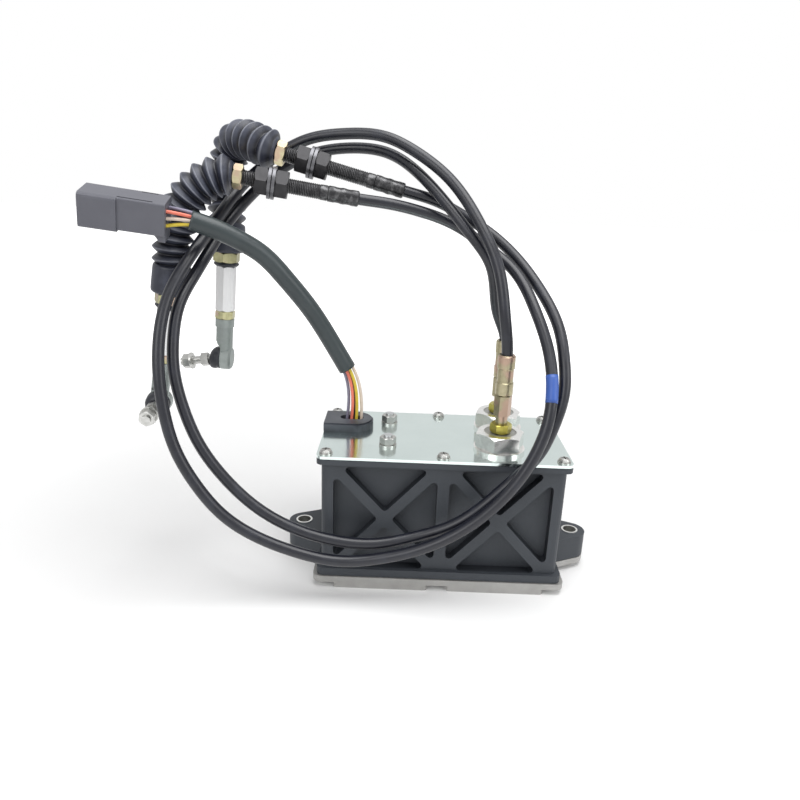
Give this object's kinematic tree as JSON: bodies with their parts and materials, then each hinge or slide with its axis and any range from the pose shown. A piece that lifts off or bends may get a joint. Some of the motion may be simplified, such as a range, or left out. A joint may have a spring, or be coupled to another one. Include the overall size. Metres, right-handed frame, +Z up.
{
  "type": "throttle motor",
  "caption": "Flat gear-motor box with ribbed sides that works sheathed throttle cables ending in bellows boots and ball-joint rods, with a wired plug.",
  "frame": {"origin": "bottom centre of the box and its glands, between the mounting ears, on the surface that the feet stand on", "axes": "+X along the box towards the cable glands, +Y away from the front ribbed face, +Z up"},
  "size_m": [0.3419, 0.1343, 0.3063],
  "materials": {
    "cast_housing": "dark slate-grey painted casting",
    "steel_bush": "zinc-plated steel",
    "gasket": "matte black rubber",
    "mirror_plate": "polished sheet steel",
    "screw_zinc": "bright zinc",
    "cover_grey": "as-cast light grey",
    "grommet_rubber": "matte black rubber",
    "frame_steel": "zinc-plated sheet steel",
    "guide_steel": "ground steel",
    "motor_steel": "nickel-plated can",
    "black_plastic": "matte black plastic",
    "rotor": "copper winding and brass pinion",
    "gear_nylon": "natural nylon",
    "gear_steel": "cut steel",
    "gland_grey": "dull grey zinc",
    "gland_nickel": "nickel plate",
    "yellow_zinc": "yellow zinc",
    "pale_yellow_zinc": "pale yellow zinc",
    "conduit_black": "glossy black plastic",
    "black_oxide": "black oxide",
    "grey_zinc": "grey zinc",
    "boot_rubber": "black rubber",
    "wires": "coloured wire insulation",
    "sleeve": "dark grey sleeve",
    "connector_grey": "dark grey plastic",
    "wedge_grey": "light grey plastic",
    "pin_brass": "tinned brass",
    "polished_aluminium": "polished",
    "rod_steel": "zinc plate",
    "joint_grey": "dull grey zinc"
  },
  "bodies": {
    "box": {"housing": "cast_housing", "ear_bushes": "steel_bush", "gaskets": "gasket", "top_plate": "mirror_plate", "top_screws": "screw_zinc", "bottom_cover": "cover_grey", "cover_screws": "screw_zinc", "hanger_nuts": "screw_zinc", "hanger_washers": "screw_zinc", "wire_grommet": "grommet_rubber", "gear_frame": "frame_steel", "gear_side_plate": "frame_steel", "bearing_bracket": "frame_steel", "guide_rods": "guide_steel", "motor_can": "motor_steel", "motor_cap": "black_plastic", "position_sensor": "black_plastic", "gland_bodies": "gland_grey", "gland_washers": "gland_grey", "gland_nuts": "gland_nickel", "jam_nuts": "yellow_zinc", "cable_ferrules": "pale_yellow_zinc", "conduit_a": "conduit_black", "conduit_b": "conduit_black", "hub_a": "black_oxide", "hub_b": "black_oxide", "hub_nuts": "black_oxide", "hub_washers": "grey_zinc", "boot_nuts": "pale_yellow_zinc", "boot_a": "boot_rubber", "boot_b": "boot_rubber", "harness_wires": "wires", "harness_sleeve": "sleeve", "connector_shell": "connector_grey", "connector_wedge": "wedge_grey", "connector_pins": "pin_brass"},
    "motor": {"motor_rotor": "rotor"},
    "idler": {"idler_gear": "gear_nylon"},
    "output": {"output_gear": "gear_steel", "output_shaft": "guide_steel"},
    "crosshead": {"rack": "gear_steel", "core_rods": "guide_steel"},
    "rod_end_a": {"rod_a": "rod_steel", "end_nut_a": "pale_yellow_zinc", "ring_a": "boot_rubber", "adjuster_a": "polished_aluminium", "lock_nut_a": "pale_yellow_zinc", "ball_socket_a": "joint_grey", "dust_boot_a": "boot_rubber"},
    "stud_a": {"ball_stud_a": "rod_steel", "stud_nut_a": "rod_steel"},
    "rod_end_b": {"rod_b": "rod_steel", "end_nut_b": "pale_yellow_zinc", "ring_b": "boot_rubber", "adjuster_b": "polished_aluminium", "lock_nut_b": "pale_yellow_zinc", "ball_socket_b": "joint_grey", "dust_boot_b": "boot_rubber"},
    "stud_b": {"ball_stud_b": "rod_steel", "stud_nut_b": "rod_steel"}
  },
  "joints": [
    {"name": "output_turn", "type": "hinge", "parent": "box", "child": "output", "pos_m": [0.017, 0, 0.05], "axis": [0, 1, 0], "range_deg": [-86, 86]},
    {"name": "idler_spin", "type": "hinge", "parent": "box", "child": "idler", "pos_m": [-0.005, 0, 0.05], "axis": [0, 1, 0], "range_deg": [-230, 230]},
    {"name": "motor_spin", "type": "hinge", "parent": "box", "child": "motor", "pos_m": [-0.026, 0, 0.05], "axis": [0, 1, 0], "range_deg": [-920, 920]},
    {"name": "rack_slide", "type": "slide", "parent": "box", "child": "crosshead", "axis": [0, 0, 1], "range_m": [-0.015, 0.015]},
    {"name": "rod_slide_a", "type": "slide", "parent": "box", "child": "rod_end_a", "axis": [-0.165, 0, -0.9863], "range_m": [-0.015, 0.015], "deforming": ["boot_a"]},
    {"name": "stud_tilt_a", "type": "hinge", "parent": "rod_end_a", "child": "stud_a", "pos_m": [-0.20457, 0.007, 0.11339], "axis": [0.9839, 0.0698, -0.1646], "range_deg": [-30, 12], "deforming": ["dust_boot_a"]},
    {"name": "rod_slide_b", "type": "slide", "parent": "box", "child": "rod_end_b", "axis": [-0.0698, 0, -0.9976], "range_m": [-0.015, 0.015], "deforming": ["boot_b"]},
    {"name": "stud_tilt_b", "type": "hinge", "parent": "rod_end_b", "child": "stud_b", "pos_m": [-0.16647, 0.045, 0.13749], "axis": [0, -1, 0], "range_deg": [-30, 12], "deforming": ["dust_boot_b"]}
  ],
  "couplings": [
    {"joint": "output_turn", "follows": "rack_slide", "rad_per_m": -100},
    {"joint": "idler_spin", "follows": "rack_slide", "rad_per_m": 266.67},
    {"joint": "motor_spin", "follows": "rack_slide", "rad_per_m": -1066.7},
    {"joint": "rod_slide_a", "follows": "rack_slide", "ratio": 1},
    {"joint": "rod_slide_b", "follows": "rack_slide", "ratio": 1}
  ]
}
